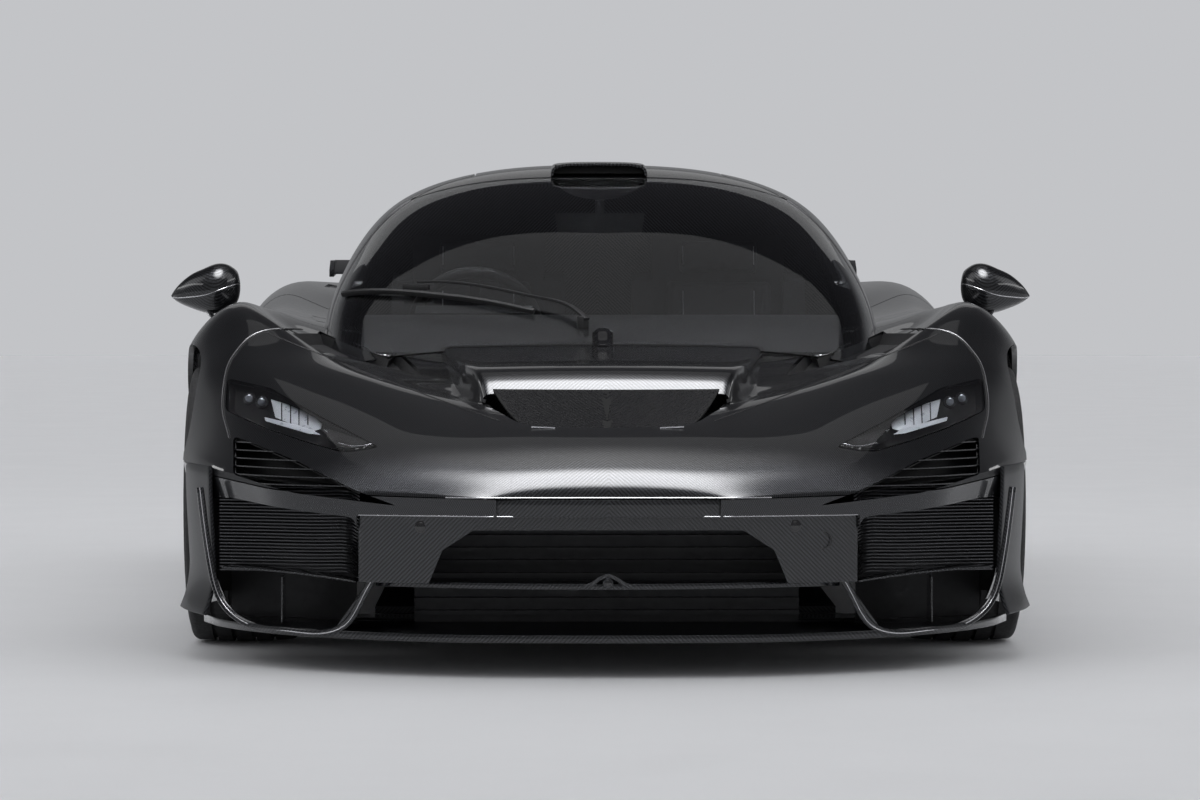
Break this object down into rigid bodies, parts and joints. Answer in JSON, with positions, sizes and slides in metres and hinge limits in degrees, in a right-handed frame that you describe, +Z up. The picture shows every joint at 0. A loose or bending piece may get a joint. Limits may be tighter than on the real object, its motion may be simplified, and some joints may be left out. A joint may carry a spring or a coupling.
{
  "type": "hypercar",
  "caption": "Low two-seat mid-engined hypercar in bare carbon weave: long wings over faired headlights, teardrop cabin with upswinging doors, rear wing and diffuser.",
  "frame": {"origin": "on the ground under the middle of the car: half way along its length and its width", "axes": "+X to the car's left, +Y to its back, +Z up; the nose points towards -Y"},
  "size_m": [2.208, 4.635, 1.1818],
  "materials": {
    "carbon": "clear-coated carbon weave",
    "mesh": "dark mesh",
    "radiator": "dark fins",
    "lamp_black": "gloss black",
    "lamp_glass": "clear",
    "window_glass": "tinted",
    "mirror": "mirror",
    "tub": "bare carbon, satin",
    "tail_lamp": "red",
    "exhaust": "heat-tinted",
    "lining": "moulded",
    "engine": "cast",
    "seat": "dark suede",
    "trim": "satin",
    "links": "machined",
    "caliper": "dark",
    "rim": "gloss black",
    "tyre": "rubber",
    "disc": "machined face"
  },
  "bodies": {
    "shell": {"arch_liners": "lining", "bonnet_bridge": "carbon", "bonnet_grille": "mesh", "cabin_frame": "carbon", "cabin_mirror": "trim", "dashboard": "trim", "diffuser": "carbon", "duct_blades": "carbon", "engine": "engine", "exhaust_tips": "exhaust", "front_blade": "carbon", "front_bumper": "carbon", "front_clam": "carbon", "front_fascia": "carbon", "front_links": "links", "headlight_housings": "lamp_black", "headlight_lenses": "lamp_glass", "intake_screens": "mesh", "radiators": "radiator", "rear_clam": "carbon", "rear_links": "links", "rear_wing": "carbon", "seats": "seat", "side_skirts": "carbon", "splitter": "carbon", "steering_column": "trim", "tail_lights": "tail_lamp", "tail_panel": "mesh", "tub": "tub", "undertray": "tub", "windscreen": "window_glass"},
    "door_left": {"door_left": "carbon", "window_left": "window_glass", "mirror_left": "carbon", "mirror_glass_left": "mirror"},
    "door_right": {"door_right": "carbon", "window_right": "window_glass", "mirror_right": "carbon", "mirror_glass_right": "mirror"},
    "knuckle_left": {"knuckle_left": "caliper"},
    "knuckle_right": {"knuckle_right": "caliper"},
    "steering_wheel": {"steering_wheel": "trim"},
    "engine_cover": {"engine_cover": "carbon"},
    "wheel_front_left": {"rim_front_left": "rim", "tyre_front_left": "tyre", "disc_front_left": "disc"},
    "wheel_front_right": {"rim_front_right": "rim", "tyre_front_right": "tyre", "disc_front_right": "disc"},
    "wheel_rear_left": {"rim_rear_left": "rim", "tyre_rear_left": "tyre", "disc_rear_left": "disc"},
    "wheel_rear_right": {"rim_rear_right": "rim", "tyre_rear_right": "tyre", "disc_rear_right": "disc"}
  },
  "joints": [
    {"name": "steer_left", "type": "hinge", "parent": "shell", "child": "knuckle_left", "pos_m": [0.775, -1.2375, 0.334], "axis": [0, 0, 1], "range_deg": [-30, 30]},
    {"name": "steer_right", "type": "hinge", "parent": "shell", "child": "knuckle_right", "pos_m": [-0.775, -1.2375, 0.334], "axis": [0, 0, 1], "range_deg": [-30, 30]},
    {"name": "wheel_front_left_spin", "type": "hinge", "parent": "knuckle_left", "child": "wheel_front_left", "pos_m": [0.865, -1.2375, 0.334], "axis": [1, 0, 0], "continuous": true},
    {"name": "wheel_rear_left_spin", "type": "hinge", "parent": "shell", "child": "wheel_rear_left", "pos_m": [0.845, 1.4425, 0.355], "axis": [1, 0, 0], "continuous": true},
    {"name": "wheel_front_right_spin", "type": "hinge", "parent": "knuckle_right", "child": "wheel_front_right", "pos_m": [-0.865, -1.2375, 0.334], "axis": [1, 0, 0], "continuous": true},
    {"name": "wheel_rear_right_spin", "type": "hinge", "parent": "shell", "child": "wheel_rear_right", "pos_m": [-0.845, 1.4425, 0.355], "axis": [1, 0, 0], "continuous": true},
    {"name": "steering_wheel_turn", "type": "hinge", "parent": "shell", "child": "steering_wheel", "pos_m": [-0.325, -0.3755, 0.735], "axis": [0, 0.927, 0.375], "range_deg": [-390, 390]},
    {"name": "door_left_swing", "type": "hinge", "parent": "shell", "child": "door_left", "pos_m": [0.335, -0.1, 1.19], "axis": [0, -1, 0], "range_deg": [0, 75]},
    {"name": "door_right_swing", "type": "hinge", "parent": "shell", "child": "door_right", "pos_m": [-0.335, -0.1, 1.19], "axis": [0, 1, 0], "range_deg": [0, 75]},
    {"name": "engine_cover_lift", "type": "hinge", "parent": "shell", "child": "engine_cover", "pos_m": [0, 0.7425, 1.156], "axis": [1, 0, 0], "range_deg": [0, 55]}
  ],
  "couplings": [
    {"joint": "steer_right", "follows": "steer_left", "ratio": 1},
    {"joint": "steering_wheel_turn", "follows": "steer_left", "ratio": 13}
  ]
}
